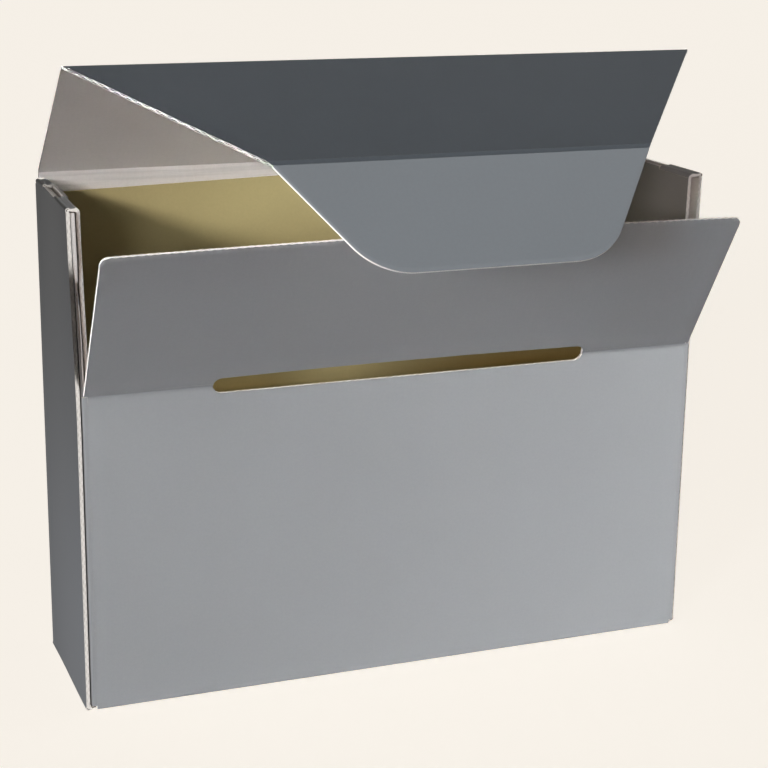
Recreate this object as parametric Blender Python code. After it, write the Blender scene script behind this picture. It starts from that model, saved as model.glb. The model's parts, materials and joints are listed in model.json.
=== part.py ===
"""A folding storage box for papers, cut from one sheet of fluted board.

The box stands on its long edge. The lid is hinged along the back wall, folds down over
the drop front, and its tuck flap goes through a slot on the front crease. The side walls
are rolled over: an outer panel, a narrow spine and an inner panel, round the corner tabs.

X runs along the box, Y from the front to the back, and Z up from the surface it stands on.
Lengths are in metres.
"""

from math import atan2, cos, hypot, pi, radians, sin

import bmesh
import bpy
from mathutils import Matrix, Vector

mm = 0.001

# Driving sizes of the closed box.
box_width = 291.0 * mm
box_depth = 76.0 * mm
hinge_height = 224.2 * mm
side_height = 221.0 * mm
front_crease_height = 141.5 * mm
board = 1.6 * mm

# Clearances and fits.
crease_gap = 0.3 * mm
touch_gap = 0.3 * mm
outer_wall_gap = 0.3 * mm
inner_wall_gap = 0.9 * mm
side_setback = 0.4 * mm
right_front_setback = 2.6 * mm
tab_meeting_gap = 0.8 * mm
slipped_tab_setback = 5.0 * mm
lid_front_clearance = 1.4 * mm
lid_end_inset = 1.4 * mm
drop_front_end_gap = 0.5 * mm
drop_front_top_gap = 5.7 * mm
ear_clearance = 0.4 * mm
cut_overrun = 4.0 * mm

# Folds that stay folded.
fold_inner_radius = 0.4 * mm
fold_steps = 6
bead_steps = 8

# Lid, drop front and tuck flap.
lid_front_length = 84.8 * mm
lid_front_narrow_width = 164.0 * mm
tuck_length = 50.3 * mm
tuck_side_slope = radians(33.2)
tuck_corner_radius = 28.0 * mm
tuck_corner_steps = 14
drop_front_corner_radius = 3.6 * mm
corner_steps = 5

# Slot on the front crease.
slot_length = 175.4 * mm
slot_below_crease = 3.4 * mm
slot_above_crease = 4.2 * mm
slot_end_steps = 12

# Cut-out in the spine of each side wall.
window_length = 30.0 * mm
window_centre_share = 0.58

# Loose sheet that stands on one corner against the back wall.
sheet_thickness = 1.2 * mm
sheet_side_clearance = 1.15 * mm
sheet_top_clearance = 8.0 * mm
sheet_tilt = radians(1.34)

# How the box stands at rest: partly open, as folded board springs back.
lid_rise = radians(41.5)
lid_front_fold = radians(62.3)
tuck_fold = radians(29.1)
drop_front_lean = radians(30.7)

# Colours of the two faces of the board and of the sheet.
outside_grey = (0.31, 0.32, 0.33, 1.0)
rolled_grey = (0.29, 0.295, 0.30, 1.0)
tab_white = (0.76, 0.73, 0.68, 1.0)
sheet_olive = (0.38, 0.32, 0.16, 1.0)
paper_roughness = 0.75
sheet_roughness = 0.85

# Places that follow from the sizes above.
half_width = box_width / 2
half_depth = box_depth / 2
half_board = board / 2
fold_outer_radius = board + fold_inner_radius
plate_start = half_board + crease_gap
tab_outer_x = half_width - board - outer_wall_gap
tab_inner_x = tab_outer_x - board
inner_panel_outer_x = tab_inner_x - inner_wall_gap
spine_crease_x = inner_panel_outer_x - half_board
spine_crease_z = side_height - half_board
wall_end_x = tab_outer_x - fold_outer_radius - touch_gap
side_end_y = half_depth - side_setback
spine_rear_y = half_depth - board - touch_gap
side_top_z = side_height - fold_outer_radius - touch_gap
tab_low_z = board + touch_gap
tab_top_z = side_height - board - ear_clearance
lid_length = box_depth + lid_front_clearance
lid_half_width = half_width - lid_end_inset
drop_front_half_width = tab_outer_x - drop_front_end_gap
drop_front_length = hinge_height - drop_front_top_gap - front_crease_height
window_centre_y = box_depth * window_centre_share - half_depth
inner_panel_face_x = inner_panel_outer_x - board
sheet_front_y = half_depth - board - touch_gap - sheet_thickness
sheet_reach = 2 * (inner_panel_face_x - sheet_side_clearance)
sheet_height = side_height - sheet_top_clearance
sheet_width = (sheet_reach - sheet_height * sin(sheet_tilt)) / cos(sheet_tilt)


def clear_scene():
    """Start from an empty scene."""
    for item in list(bpy.data.objects):
        bpy.data.objects.remove(item, do_unlink=True)


def paper(name, colour, roughness):
    """A matt paper finish in one colour."""
    material = bpy.data.materials.new(name)
    material.use_nodes = True
    shader = material.node_tree.nodes["Principled BSDF"]
    shader.inputs["Base Color"].default_value = colour
    shader.inputs["Roughness"].default_value = roughness
    shader.inputs["Metallic"].default_value = 0.0
    material.diffuse_color = colour
    return material


def arc(centre, radius, start, end, steps):
    """Points along an arc, both ends included, with angles in radians."""
    points = []
    for step in range(steps + 1):
        angle = start + (end - start) * step / steps
        points.append((centre[0] + radius * cos(angle), centre[1] + radius * sin(angle)))
    return points


def rounded_corner(before, corner, after, radius, steps):
    """Points of the arc that rounds a corner between two straight edges."""
    to_before = (Vector(before) - Vector(corner)).normalized()
    to_after = (Vector(after) - Vector(corner)).normalized()
    half_angle = to_before.angle(to_after) / 2
    centre = Vector(corner) + (to_before + to_after).normalized() * radius / sin(half_angle)
    first = Vector(corner) + to_before * radius * cos(half_angle) / sin(half_angle) - centre
    last = Vector(corner) + to_after * radius * cos(half_angle) / sin(half_angle) - centre
    start = atan2(first.y, first.x)
    turn = atan2(last.y, last.x) - start
    turn = (turn + pi) % (2 * pi) - pi
    return arc(centre, radius, start, start + turn, steps)


def new_object(name, bm, material):
    """Turn a bmesh into a named object with its faces pointing out."""
    bmesh.ops.recalc_face_normals(bm, faces=bm.faces)
    mesh = bpy.data.meshes.new(name)
    bm.to_mesh(mesh)
    bm.free()
    mesh.materials.append(material)
    item = bpy.data.objects.new(name, mesh)
    bpy.context.collection.objects.link(item)
    return item


def prism_mesh(outline, place, low, high):
    """Extrude a flat outline from low to high; place maps outline and height to space."""
    bm = bmesh.new()
    corners = [bm.verts.new(place(a, b, low)) for a, b in outline]
    face = bm.faces.new(corners)
    grown = bmesh.ops.extrude_face_region(bm, geom=[face])
    step = Vector(place(0, 0, high)) - Vector(place(0, 0, low))
    moved = [item for item in grown["geom"] if isinstance(item, bmesh.types.BMVert)]
    bmesh.ops.translate(bm, verts=moved, vec=step)
    return bm


def along_x(a, b, c):
    """A profile drawn in the YZ plane and extruded along X."""
    return (c, a, b)


def along_y(a, b, c):
    """A profile drawn in the XZ plane and extruded along Y."""
    return (a, c, b)


def along_z(a, b, c):
    """An outline drawn in the XY plane and extruded along Z."""
    return (a, b, c)


def mirrored(outline, sign):
    """The outline on the side of the box that sign gives."""
    return [(sign * a, b) for a, b in outline]


def cut_from(item, cutter):
    """Cut one solid out of another, and keep the cutter out of sight."""
    cutter.hide_render = True
    cutter.display_type = "WIRE"
    cut = item.modifiers.new("cut", "BOOLEAN")
    cut.operation = "DIFFERENCE"
    cut.solver = "EXACT"
    cut.object = cutter


def foot_profile(face):
    """Profile of a wall from its foot up, ending where its flat part starts.

    The first half runs down the outer face and round the fold to the bottom panel, and
    the second half comes back along the inner face.
    """
    centre = (face - fold_outer_radius, fold_outer_radius)
    outside = arc(centre, fold_outer_radius, 0, -pi / 2, fold_steps)
    inside = arc(centre, fold_inner_radius, -pi / 2, 0, fold_steps)
    return outside + inside


def make_bottom(material):
    """The bottom panel, between the four folds that turn up into the walls."""
    end_x = half_width - fold_outer_radius - touch_gap
    end_y = half_depth - fold_outer_radius - touch_gap
    outline = [(-end_x, -end_y), (end_x, -end_y), (end_x, end_y), (-end_x, end_y)]
    return new_object("bottom_panel", prism_mesh(outline, along_z, 0, board), material)


def slot_mesh():
    """Cutter for the slot, drawn about the front crease: a long hole with round ends."""
    radius = (slot_above_crease + slot_below_crease) / 2
    centre_z = (slot_above_crease - slot_below_crease) / 2
    centre_x = slot_length / 2 - radius
    outline = arc((centre_x, centre_z), radius, -pi / 2, pi / 2, slot_end_steps)
    outline += arc((-centre_x, centre_z), radius, pi / 2, 3 * pi / 2, slot_end_steps)
    return prism_mesh(outline, along_y, -cut_overrun, board + cut_overrun)


def make_front_wall(material):
    """The front wall, folded up from the bottom, with the lower half of the slot."""
    top = front_crease_height - crease_gap / 2
    profile = [(half_depth, top)] + foot_profile(half_depth) + [(half_depth - board, top)]
    wall = new_object(
        "front_wall",
        prism_mesh(mirrored(profile, -1), along_x, -wall_end_x, wall_end_x),
        material,
    )
    cutter = new_object("slot_cutter", slot_mesh(), material)
    cutter.location = (0, -half_depth, front_crease_height)
    cut_from(wall, cutter)
    return wall


def make_back_wall(material):
    """The back wall, with a rounded crease along its top and ears over the side walls."""
    middle = half_depth - half_board
    crease = arc((middle, hinge_height), half_board, pi, 0, bead_steps)
    profile = foot_profile(half_depth) + crease
    wall = new_object(
        "back_wall", prism_mesh(profile, along_x, -lid_half_width, lid_half_width), material
    )
    notch_top = side_height + ear_clearance
    far_x = lid_half_width + cut_overrun
    for side, sign in (("left", -1), ("right", 1)):
        notch = [
            (wall_end_x, -cut_overrun),
            (far_x, -cut_overrun),
            (far_x, notch_top),
            (wall_end_x, notch_top),
        ]
        low = half_depth - fold_outer_radius - cut_overrun
        bm = prism_mesh(mirrored(notch, sign), along_y, low, half_depth + cut_overrun)
        cut_from(wall, new_object(side + "_ear_cutter", bm, material))
    return wall


def make_outer_side(side, sign, front, material):
    """The outer panel of a side wall, folded up from the bottom."""
    profile = [(half_width, side_top_z)] + foot_profile(half_width)
    profile += [(half_width - board, side_top_z)]
    bm = prism_mesh(mirrored(profile, sign), along_y, front, side_end_y)
    return new_object(side + "_side_outer", bm, material)


def make_spine(side, sign, place, low, high, material):
    """One end of the spine: folded over the wall, with a rounded crease on its inner edge."""
    centre = (half_width - fold_outer_radius, side_height - fold_outer_radius)
    outside = arc(centre, fold_outer_radius, 0, pi / 2, fold_steps)
    crease = arc((spine_crease_x, spine_crease_z), half_board, pi / 2, 3 * pi / 2, bead_steps)
    inside = arc(centre, fold_inner_radius, pi / 2, 0, fold_steps)
    profile = mirrored(outside + crease + inside, sign)
    return new_object(side + "_spine_" + place, prism_mesh(profile, along_y, low, high), material)


def make_inner_side(side, sign, material):
    """The inner panel of a side wall, which hangs from the spine and swings inwards."""
    drop = spine_crease_z - board - touch_gap
    outline = [
        (-half_board, -plate_start),
        (half_board, -plate_start),
        (half_board, -drop),
        (-half_board, -drop),
    ]
    front = -half_depth + board + side_setback
    back = sheet_front_y - touch_gap
    panel = new_object(side + "_side_inner", prism_mesh(outline, along_y, front, back), material)
    panel.location = (sign * spine_crease_x, 0, spine_crease_z)
    return panel


def make_tab(end, side, sign_x, sign_y, bend_top, setback, material):
    """A corner tab: the end of the front or back wall, turned in between the side panels."""
    centre = (tab_outer_x - fold_outer_radius, half_depth - fold_outer_radius)
    tab_end = tab_meeting_gap / 2
    outside = arc(centre, fold_outer_radius, pi / 2, 0, fold_steps)
    inside = arc(centre, fold_inner_radius, 0, pi / 2, fold_steps)
    folded = outside + [(tab_outer_x, tab_end), (tab_inner_x, tab_end)] + inside
    folded = [(sign_x * a, sign_y * b) for a, b in folded]
    bm = prism_mesh(folded, along_z, tab_low_z, tab_top_z)
    tab = new_object(end + "_" + side + "_tab", bm, material)
    if bend_top < tab_top_z:
        first_y = half_depth - fold_outer_radius - setback
        far_y = half_depth + cut_overrun
        near_x = centre[0] - cut_overrun
        far_x = tab_outer_x + cut_overrun
        above = [(near_x, first_y), (far_x, first_y), (far_x, far_y), (near_x, far_y)]
        above = [(sign_x * a, sign_y * b) for a, b in above]
        bm = prism_mesh(above, along_z, bend_top, tab_top_z + cut_overrun)
        cut_from(tab, new_object(end + "_" + side + "_fold_cutter", bm, material))
    return tab


def make_drop_front(material):
    """The drop front, leaning out on the front crease, with the upper half of the slot."""
    low = crease_gap / 2
    top = drop_front_length
    end = drop_front_half_width
    right = rounded_corner((end, low), (end, top), (0, top), drop_front_corner_radius, corner_steps)
    left = rounded_corner((0, top), (-end, top), (-end, low), drop_front_corner_radius, corner_steps)
    outline = [(-end, low), (end, low)] + right + left
    panel = new_object("drop_front", prism_mesh(outline, along_y, 0, board), material)
    panel.location = (0, -half_depth, front_crease_height)
    panel.rotation_euler = (drop_front_lean, 0, 0)
    cutter = new_object("upper_slot_cutter", slot_mesh(), material)
    cutter.parent = panel
    cut_from(panel, cutter)
    return panel


def creased_plate(length):
    """Profile of a moving panel: flat, with a rounded crease where the next one joins it."""
    crease = arc((-length, 0), half_board, pi / 2, 3 * pi / 2, bead_steps)
    return [(-plate_start, half_board)] + crease + [(-plate_start, -half_board)]


def make_lid_top(material):
    """The top panel of the lid, hinged on the back wall."""
    bm = prism_mesh(creased_plate(lid_length), along_x, -lid_half_width, lid_half_width)
    panel = new_object("lid_top", bm, material)
    panel.location = (0, half_depth - half_board, hinge_height)
    panel.rotation_euler = (-lid_rise, 0, 0)
    return panel


def make_lid_front(parent, material):
    """The front panel of the lid, which narrows towards the tuck flap."""
    bm = prism_mesh(creased_plate(lid_front_length), along_x, -lid_half_width, lid_half_width)
    narrow = lid_front_narrow_width / 2
    for sign in (-1, 1):
        wide_end = Vector((sign * lid_half_width, 0, 0))
        narrow_end = Vector((sign * narrow, -lid_front_length, 0))
        edge = narrow_end - wide_end
        outward = Vector((-sign * edge.y, sign * edge.x, 0)).normalized()
        cut = bmesh.ops.bisect_plane(
            bm,
            geom=list(bm.verts) + list(bm.edges) + list(bm.faces),
            plane_co=wide_end,
            plane_no=outward,
            clear_outer=True,
        )
        edges = [item for item in cut["geom_cut"] if isinstance(item, bmesh.types.BMEdge)]
        bmesh.ops.contextual_create(bm, geom=edges)
    panel = new_object("lid_front", bm, material)
    panel.parent = parent
    panel.location = (0, -lid_length, 0)
    panel.rotation_euler = (lid_front_fold, 0, 0)
    return panel


def make_tuck_flap(parent, material):
    """The tuck flap, with slanted sides and two wide round corners."""
    half = lid_front_narrow_width / 2
    slope = sin(tuck_side_slope) / cos(tuck_side_slope)
    root = half - slope * plate_start
    tip = half - slope * tuck_length
    right = rounded_corner(
        (root, -plate_start), (tip, -tuck_length), (0, -tuck_length),
        tuck_corner_radius, tuck_corner_steps,
    )
    left = [(-a, b) for a, b in reversed(right)]
    outline = [(-root, -plate_start), (root, -plate_start)] + right + left
    flap = new_object("tuck_flap", prism_mesh(outline, along_z, -half_board, half_board), material)
    flap.parent = parent
    flap.location = (0, -lid_front_length, 0)
    flap.rotation_euler = (tuck_fold, 0, 0)
    return flap


def make_sheet(material):
    """The loose olive sheet, standing on one corner against the back wall."""
    outline = [(0, 0), (sheet_width, 0), (sheet_width, sheet_height), (0, sheet_height)]
    sheet = new_object("backing_sheet", prism_mesh(outline, along_y, 0, sheet_thickness), material)
    corner_x = sheet_height * sin(sheet_tilt) - sheet_reach / 2
    sheet.location = (corner_x, sheet_front_y, board + touch_gap)
    sheet.rotation_euler = (0, -sheet_tilt, 0)
    return sheet


def make_side_wall(side, sign, outside, rolled, inside):
    """One rolled-over side wall with its two corner tabs."""
    window_low = window_centre_y - window_length / 2
    window_high = window_centre_y + window_length / 2
    front = right_front_setback - half_depth if sign > 0 else -side_end_y
    make_outer_side(side, sign, front, outside)
    make_spine(side, sign, "front", front, window_low, outside)
    make_spine(side, sign, "rear", window_high, spine_rear_y, outside)
    make_inner_side(side, sign, rolled)
    bend_top = front_crease_height - crease_gap / 2
    setback = slipped_tab_setback if sign > 0 else 0
    make_tab("front", side, sign, -1, bend_top, setback, inside)
    make_tab("back", side, sign, 1, tab_top_z, 0, inside)


def build():
    """Make every panel of the box and the sheet inside it."""
    clear_scene()
    outside = paper("blue_grey_face", outside_grey, paper_roughness)
    rolled = paper("rolled_over_face", rolled_grey, paper_roughness)
    inside = paper("off_white_face", tab_white, paper_roughness)
    olive = paper("olive_sheet", sheet_olive, sheet_roughness)
    make_bottom(outside)
    make_front_wall(outside)
    make_back_wall(outside)
    for side, sign in (("left", -1), ("right", 1)):
        make_side_wall(side, sign, outside, rolled, inside)
    make_drop_front(outside)
    lid_top = make_lid_top(outside)
    lid_front = make_lid_front(lid_top, outside)
    make_tuck_flap(lid_front, outside)
    make_sheet(olive)
    bpy.context.view_layer.update()


build()
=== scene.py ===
"""Dresses the folding paper box: fluted board, papers, creases, stage, light and camera.

Lengths are in metres. X runs along the box, Y from the front to the back, Z up.
"""

import json
from math import atan2, cos, hypot, pi, radians, sin, sqrt, tan

import bmesh
import bpy
from mathutils import Matrix, Vector


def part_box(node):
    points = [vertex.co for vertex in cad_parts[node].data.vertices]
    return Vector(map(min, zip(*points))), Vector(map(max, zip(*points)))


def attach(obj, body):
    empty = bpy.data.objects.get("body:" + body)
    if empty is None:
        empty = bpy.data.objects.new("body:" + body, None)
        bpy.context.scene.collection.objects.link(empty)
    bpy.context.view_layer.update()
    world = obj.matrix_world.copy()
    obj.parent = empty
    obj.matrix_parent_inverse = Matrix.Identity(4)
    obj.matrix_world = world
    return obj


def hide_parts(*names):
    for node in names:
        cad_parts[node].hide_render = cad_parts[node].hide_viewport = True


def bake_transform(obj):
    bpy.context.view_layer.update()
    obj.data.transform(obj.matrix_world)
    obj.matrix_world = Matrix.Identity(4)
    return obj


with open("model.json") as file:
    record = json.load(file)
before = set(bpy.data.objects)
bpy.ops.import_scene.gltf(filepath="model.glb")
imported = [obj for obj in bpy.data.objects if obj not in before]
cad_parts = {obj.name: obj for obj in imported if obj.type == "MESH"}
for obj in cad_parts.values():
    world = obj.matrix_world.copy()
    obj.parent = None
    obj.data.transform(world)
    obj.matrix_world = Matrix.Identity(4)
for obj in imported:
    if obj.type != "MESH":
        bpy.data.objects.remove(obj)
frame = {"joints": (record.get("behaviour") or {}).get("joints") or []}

bl_info = {
    "name": "Archival box",
    "version": (1, 0, 0),
    "blender": (4, 5, 0),
    "location": "View3D > Sidebar > Box",
    "description": "Builds a fold-up box of fluted board round its packed solids",
    "category": "Object",
}

mm = 0.001

# Fixed places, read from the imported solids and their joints.
JOINTS = {joint["name"]: joint for joint in frame["joints"]}
LID_HINGE = Vector(JOINTS["lid_hinge"]["pos_m"]).yz
LID_EDGE = Vector(JOINTS["lid_front_fold"]["pos_m"]).yz
TUCK_CREASE = Vector(JOINTS["tuck_fold"]["pos_m"]).yz
FRONT_CREASE = Vector(JOINTS["drop_front_hinge"]["pos_m"]).yz
INNER_FOLD = Vector(JOINTS["right_inner_fold"]["pos_m"]).xz
HALF_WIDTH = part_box("right_side_outer")[1].x
HALF_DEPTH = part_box("back_wall")[1].y
SIDE_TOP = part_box("right_spine_front")[1].z
SIDE_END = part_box("right_side_outer")[1].y
SIDE_FRONT = {side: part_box(side + "_side_outer")[0].y for side in ("left", "right")}
WINDOW_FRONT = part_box("right_spine_front")[1].y
WINDOW_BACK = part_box("right_spine_rear")[0].y
SPINE_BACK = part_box("right_spine_rear")[1].y
LID_HALF_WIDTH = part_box("lid_top")[1].x
DROP_HALF_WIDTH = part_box("drop_front")[1].x
TAB_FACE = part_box("front_right_tab")[1].x
TAB_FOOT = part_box("front_right_tab")[0].z
TAB_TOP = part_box("back_right_tab")[1].z
TAB_END = -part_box("front_right_tab")[1].y
INNER_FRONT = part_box("right_side_inner")[0].y
INNER_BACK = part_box("right_side_inner")[1].y
INNER_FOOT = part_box("right_side_inner")[0].z
SHEET_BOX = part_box("backing_sheet")

# Angles of the panels at rest.
LID_RISE = radians(41.5)
LID_FRONT_FOLD = radians(62.3)
TUCK_FOLD = radians(29.1)
DROP_LEAN = radians(30.7)
SHEET_TILT = radians(1.34)

# The right front tab has slipped back by this much above the front crease.
SLIPPED_TAB = 5.0 * mm

# The left front tab has sprung clear of the drop front from this height up.
TAB_CLEAR = 188 * mm

# The inner side panels are set back at the front by degrees over this stretch from their fold.
RELIEF_RUN = 60 * mm

# Faces round a quarter turn, and the marks that such a fold takes on its profile.
FOLD_STEPS = 6
FOLD_MARKS = FOLD_STEPS + 7


def length(name, description, default):
    """A size property in metres."""
    return bpy.props.FloatProperty(
        name=name, description=description, default=default, min=0.0, unit="LENGTH", precision=5
    )


def colour(name, description, default):
    """A colour property."""
    return bpy.props.FloatVectorProperty(
        name=name, description=description, default=default, size=3, subtype="COLOR",
        min=0.0, max=1.0,
    )


class BoardSettings(bpy.types.PropertyGroup):
    """Sizes of the fluted board."""

    thickness: length("Board", "Thickness of the whole board", 1.6 * mm)
    pitch: length("Flute pitch", "Distance from one flute to the next", 3.45 * mm)
    liner: length("Liner", "Thickness of each outer paper", 0.3 * mm)
    core: length("Core paper", "Thickness of the wavy paper, with its glue", 0.56 * mm)
    crushed_core: length("Crushed core", "Thickness of the core where the flutes are flat", 0.9 * mm)
    fold_radius: length("Fold radius", "Outer radius of a fold that stays folded", 0.85 * mm)
    window_gap: length("Window gap", "Gap between a spine and the raised edge beside it", 0.2 * mm)
    fold_run: length("Fold run", "Length over which the board thins towards a fold", 1.2 * mm)
    fold_crush: bpy.props.FloatProperty(
        name="Fold crush", description="Share of the thickness lost in a fold that stays folded",
        default=0.55, min=0.0, max=0.9, subtype="FACTOR",
    )
    crease_reach: length("Crease reach", "How far a crease bends the board to each side", 1.1 * mm)
    crease_crush: bpy.props.FloatProperty(
        name="Crease crush", description="Share of the thickness lost along a crease",
        default=0.35, min=0.0, max=0.9, subtype="FACTOR",
    )
    cut_run: length("Cut run", "Length over which the die has pressed a cut edge", 1.4 * mm)
    cut_crush: bpy.props.FloatProperty(
        name="Cut crush", description="Share of the thickness lost at a pressed cut edge",
        default=0.62, min=0.0, max=0.9, subtype="FACTOR",
    )
    cut_ripple: bpy.props.FloatProperty(
        name="Cut ripple", description="How much that share changes from flute to flute",
        default=0.24, min=0.0, max=0.5, subtype="FACTOR",
    )
    flute_steps: bpy.props.IntProperty(
        name="Flute steps", description="Faces along one flute wave", default=8, min=4, max=24
    )


class PanelSettings(bpy.types.PropertyGroup):
    """Outlines of the panels that aren't plain rectangles."""

    lid_narrow: length("Narrow end", "Half the width of the lid front at the tuck crease", 82.0 * mm)
    tuck_slope: bpy.props.FloatProperty(
        name="Tuck slope", description="How far each side of the tuck flap comes in for its length",
        default=0.655, min=0.0,
    )
    tuck_corner: length("Tuck corner", "Radius of the tuck flap's corners", 28.0 * mm)
    drop_corner: length("Drop front corner", "Radius of the drop front's top corners", 3.6 * mm)
    slot_half: length("Slot", "Half the length of the slot", 87.7 * mm)
    slot_below: length("Slot below crease", "How far the slot cuts the front wall", 3.4 * mm)
    slot_above: length("Slot above crease", "How far the slot cuts the drop front", 4.2 * mm)
    side_flare: length("Side flare", "How far the left side wall springs out at its front top", 2.5 * mm)
    right_flare: length("Right flare", "The same for the right outer panel alone", 1.7 * mm)
    drop_bow: length("Drop front bow", "How far the middle of the drop front's top bows in", 1.9 * mm)
    slot_bow: length("Slot bow", "How far the slot's upper lip bows in at its middle", 1.0 * mm)
    side_gape: length("Side gape", "How far the left outer panel stands off lower down", 0.7 * mm)


class PaperSettings(bpy.types.PropertyGroup):
    """Colours of the papers, and the dark shade painted inside the flutes."""

    outside: colour("Outside", "Smooth grey paper of the outside", (0.335, 0.345, 0.358))
    inside: colour("Inside", "Off-white paper of the inside", (0.73, 0.69, 0.65))
    edge: colour("Cut edge", "White pulp at a cut edge", (0.83, 0.80, 0.77))
    # Painted shade: the pulp inside the flutes is as pale as the cut edge, and this dark colour stands
    # in for the shade deep in the flutes.
    channel: colour("Channel", "Inner faces of the papers, in the flutes", (0.20, 0.18, 0.16))
    sheet: colour("Sheet", "Olive sheet against the back", (0.52, 0.44, 0.22))


class StageSettings(bpy.types.PropertyGroup):
    """Backdrop, floor and light."""

    backdrop: colour("Backdrop", "Colour of the pale ground", (0.913, 0.863, 0.791))
    floor_size: length("Floor", "Half the length of the floor's sides", 9.0)
    key: bpy.props.FloatProperty(
        name="Light", description="Strength of all the lamps", default=1.0, min=0.0
    )
    softness: bpy.props.FloatProperty(
        name="Softness", description="Angle of each sun lamp", default=radians(12), subtype="ANGLE"
    )
    sheet_softness: bpy.props.FloatProperty(
        name="Sheet softness", description="Angle of the sheet's main sun lamp",
        default=radians(8.5), subtype="ANGLE",
    )
    room: bpy.props.FloatProperty(
        name="Room", description="Strength of the light from all round", default=0.02, min=0.0
    )
    floor_light: bpy.props.FloatProperty(
        name="Floor light", description="Share of the ground's brightness that lamps give it",
        default=0.03, min=0.0, max=1.0, subtype="FACTOR",
    )
    floor_tint: bpy.props.FloatProperty(
        name="Floor tint", description="How light the ground is to the lamps, of its own colour",
        default=0.25, min=0.0, max=1.0, subtype="FACTOR",
    )


# Materials


def group_socket(tree, name, kind, default=None, out=False):
    """Add a named socket to a node group."""
    socket = tree.interface.new_socket(
        name=name, in_out="OUTPUT" if out else "INPUT", socket_type="NodeSocket" + kind
    )
    if default is not None:
        socket.default_value = default
    return socket


def add_node(tree, kind, inputs=None, **settings):
    """Add a node, set its properties, and set or link its inputs."""
    node = tree.nodes.new(kind)
    for name, value in settings.items():
        setattr(node, name, value)
    for name, value in (inputs or {}).items():
        if isinstance(value, bpy.types.NodeSocket):
            tree.links.new(value, node.inputs[name])
        else:
            node.inputs[name].default_value = value
    return node


def maths(tree, operation, *values):
    """A Math node and its output."""
    node = add_node(tree, "ShaderNodeMath", dict(enumerate(values)), operation=operation)
    return node.outputs[0]


def fibre_group():
    """Node group with the fine fibre, the soft mottle and the relief of paper."""
    name = "Paper fibre"
    if name in bpy.data.node_groups:
        return bpy.data.node_groups[name]
    tree = bpy.data.node_groups.new(name, "ShaderNodeTree")
    group_socket(tree, "Fibre Scale", "Float", 900.0)
    group_socket(tree, "Mottle Scale", "Float", 14.0)
    group_socket(tree, "Fleck Amount", "Float", 0.0)
    group_socket(tree, "Tone", "Float", out=True)
    group_socket(tree, "Fleck", "Float", out=True)
    group_socket(tree, "Height", "Float", out=True)
    inputs = tree.nodes.new("NodeGroupInput")
    outputs = tree.nodes.new("NodeGroupOutput")
    place = add_node(tree, "ShaderNodeTexCoord").outputs["Object"]
    fibre = add_node(
        tree, "ShaderNodeTexNoise",
        {"Vector": place, "Scale": inputs.outputs["Fibre Scale"], "Detail": 3.0, "Roughness": 0.6},
    )
    mottle = add_node(
        tree, "ShaderNodeTexNoise",
        {"Vector": place, "Scale": inputs.outputs["Mottle Scale"], "Detail": 4.0, "Roughness": 0.55},
    )
    tone = maths(tree, "MULTIPLY", fibre.outputs["Fac"], 0.45)
    tone = maths(tree, "MULTIPLY_ADD", mottle.outputs["Fac"], 0.55, tone)
    cells = add_node(
        tree, "ShaderNodeTexVoronoi", {"Vector": place, "Scale": inputs.outputs["Fibre Scale"]},
    )
    near = maths(tree, "LESS_THAN", cells.outputs["Distance"], 0.12)
    fleck = maths(tree, "MULTIPLY", near, inputs.outputs["Fleck Amount"])
    tree.links.new(tone, outputs.inputs["Tone"])
    tree.links.new(fleck, outputs.inputs["Fleck"])
    tree.links.new(fibre.outputs["Fac"], outputs.inputs["Height"])
    return tree


def washboard_group():
    """Node group with the faint ribs that flutes press through the paper."""
    name = "Flute ribs"
    if name in bpy.data.node_groups:
        return bpy.data.node_groups[name]
    tree = bpy.data.node_groups.new(name, "ShaderNodeTree")
    group_socket(tree, "Pitch", "Float", 3.45 * mm)
    group_socket(tree, "Height", "Float", out=True)
    inputs = tree.nodes.new("NodeGroupInput")
    outputs = tree.nodes.new("NodeGroupOutput")
    across = add_node(tree, "ShaderNodeAttribute", attribute_name="across").outputs["Fac"]
    waves = maths(tree, "DIVIDE", across, inputs.outputs["Pitch"])
    angle = maths(tree, "MULTIPLY", waves, 2 * pi)
    rib = maths(tree, "COSINE", angle)
    tree.links.new(rib, outputs.inputs["Height"])
    return tree


def pressed_group():
    """Node group with the uneven lines pressed into the paper below the lid's crease."""
    name = "Pressed lines"
    if name in bpy.data.node_groups:
        return bpy.data.node_groups[name]
    tree = bpy.data.node_groups.new(name, "ShaderNodeTree")
    group_socket(tree, "Low", "Float", 0.2135)
    group_socket(tree, "High", "Float", 0.2245)
    group_socket(tree, "Line", "Float", out=True)
    inputs = tree.nodes.new("NodeGroupInput")
    outputs = tree.nodes.new("NodeGroupOutput")
    place = add_node(tree, "ShaderNodeTexCoord").outputs["Object"]
    stretched = add_node(tree, "ShaderNodeMapping", {"Vector": place, "Scale": (9.0, 20.0, 420.0)})
    noise = add_node(
        tree, "ShaderNodeTexNoise",
        {"Vector": stretched.outputs[0], "Scale": 1.0, "Detail": 3.0, "Roughness": 0.6},
    )
    line = add_node(
        tree, "ShaderNodeMapRange",
        {"Value": noise.outputs["Fac"], "From Min": 0.46, "From Max": 0.62},
    )
    parts = add_node(tree, "ShaderNodeSeparateXYZ", {"Vector": place})
    height, depth = parts.outputs["Z"], parts.outputs["Y"]
    edge = 1.2 * mm
    above = add_node(
        tree, "ShaderNodeMapRange",
        {"Value": height, "From Min": inputs.outputs["Low"],
         "From Max": maths(tree, "ADD", inputs.outputs["Low"], edge)},
    )
    below = maths(tree, "LESS_THAN", height, inputs.outputs["High"])
    back = maths(tree, "GREATER_THAN", depth, HALF_DEPTH - 5 * mm)
    mask = maths(tree, "MULTIPLY", above.outputs["Result"], maths(tree, "MULTIPLY", below, back))
    tree.links.new(maths(tree, "MULTIPLY", line.outputs["Result"], mask), outputs.inputs["Line"])
    return tree


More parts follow.
